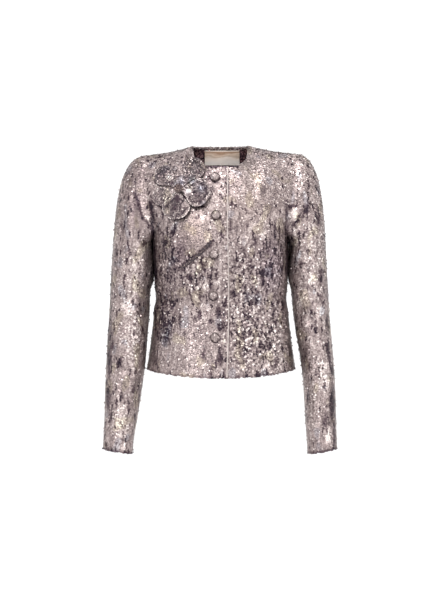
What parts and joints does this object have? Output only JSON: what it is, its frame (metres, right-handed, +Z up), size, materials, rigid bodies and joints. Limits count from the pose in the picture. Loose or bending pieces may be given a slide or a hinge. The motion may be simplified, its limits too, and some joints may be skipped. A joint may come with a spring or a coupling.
{
  "type": "sequin jacket",
  "caption": "Hip-length round-neck jacket covered in sequins, buttoned and filled out, with long two-piece sleeves, covered buttons and a raised flower.",
  "frame": {"origin": "middle of the shoulder line, where the wearer's shoulders hold the jacket", "axes": "+Z up, the front faces -Y, the wearer's left is +X"},
  "size_m": [0.5084, 0.2373, 0.6738],
  "materials": {
    "sequin_cloth": "round metallic sequins in mauve, champagne and plum, sewn close on cloth",
    "under_sleeve": "smaller, duller taupe sequins on cloth",
    "edge_band": "flat pale sequin band",
    "facing": "dark plum satin with sequins",
    "label": "champagne satin, bare",
    "button": "sequin-covered dome",
    "petal": "cool grey-lilac sequins with a beaded rim",
    "bead": "small dark brown beads"
  },
  "bodies": {
    "root": {"front_right": "sequin_cloth", "front_left": "sequin_cloth", "front_band": "edge_band", "side_right": "sequin_cloth", "side_left": "sequin_cloth", "back_right": "sequin_cloth", "back_left": "sequin_cloth", "sleeve_right_upper": "sequin_cloth", "sleeve_left_upper": "sequin_cloth", "sleeve_right_under": "under_sleeve", "sleeve_left_under": "under_sleeve", "neck_facing": "facing", "label": "label", "flower_centre": "bead", "beaded_line": "bead", "button_1": "button", "petal_1": "petal", "button_2": "button", "petal_2": "petal", "button_3": "button", "petal_3": "petal", "button_4": "button", "petal_4": "petal", "button_5": "button", "petal_5": "petal"}
  },
  "joints": []
}
